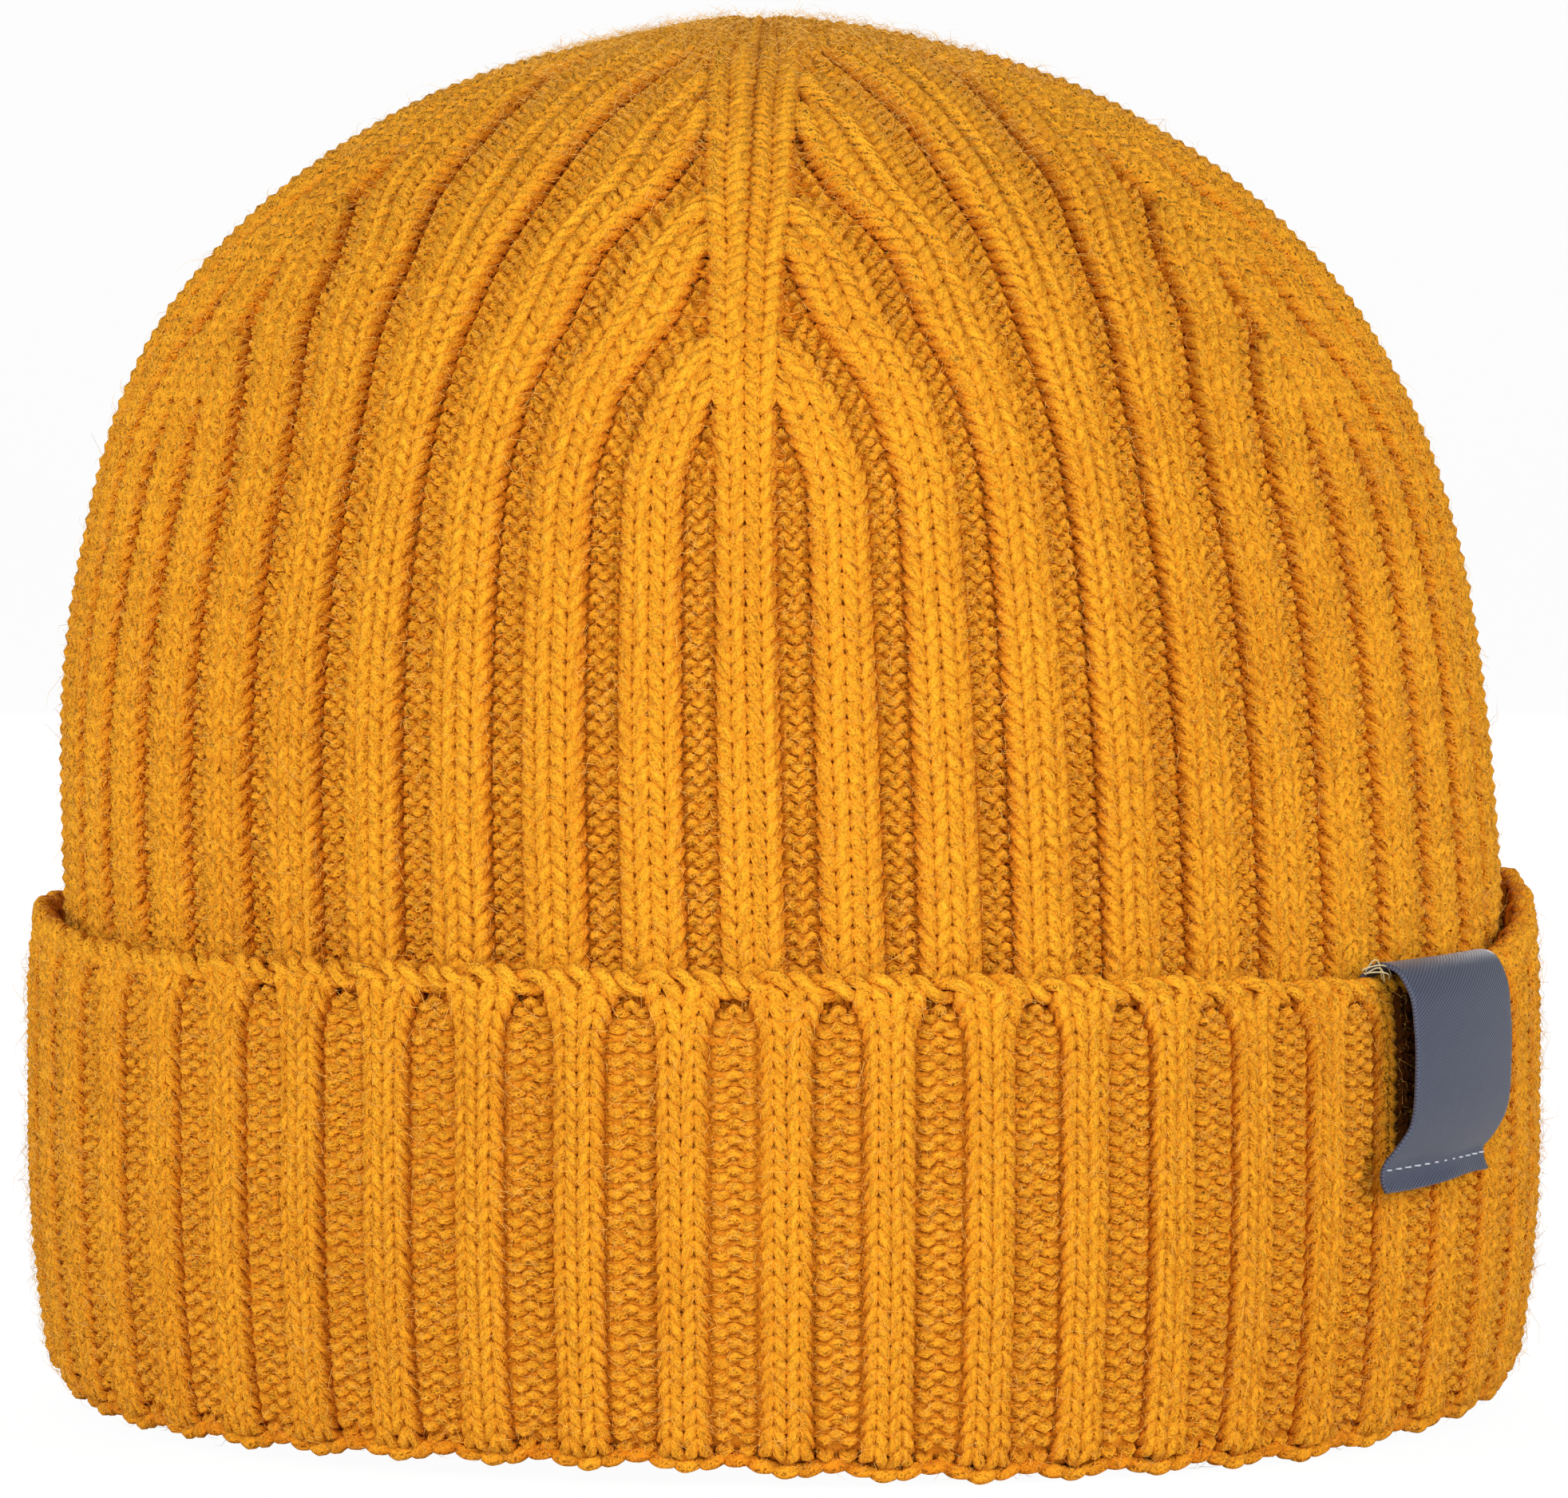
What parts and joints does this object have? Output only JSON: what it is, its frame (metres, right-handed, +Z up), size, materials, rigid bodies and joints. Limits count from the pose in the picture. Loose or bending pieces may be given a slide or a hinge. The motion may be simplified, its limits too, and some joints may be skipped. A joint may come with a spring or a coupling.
{
  "type": "knit beanie",
  "caption": "Ribbed knit cap with a turned-up cuff, a crown shaped by darts, and a small blank fabric label looped over the cuff's edge.",
  "frame": {"origin": "middle of the rim's footprint, on the surface that the cap stands on", "axes": "+Z up through the crown, -Y towards the wearer's brow, +X towards the wearer's left, the label's side"},
  "size_m": [0.177, 0.2124, 0.1597],
  "materials": {
    "wool_knit": "soft two-by-two rib knit in mustard wool",
    "wool_yarn": "plied mustard wool yarn",
    "label_twill": "matt slate twill ribbon",
    "sewing_thread": "pale blue-grey sewing thread",
    "tack_thread": "beige sewing thread"
  },
  "bodies": {
    "root": {"knit_wall": "wool_knit", "knit_crown": "wool_knit", "fold_ridge": "wool_knit", "cuff": "wool_knit", "cast_on_edge": "wool_knit", "woven_label": "label_twill", "label_hem_stitching": "sewing_thread", "label_tack_thread": "tack_thread", "crown_closing_yarn": "wool_yarn"}
  },
  "joints": []
}
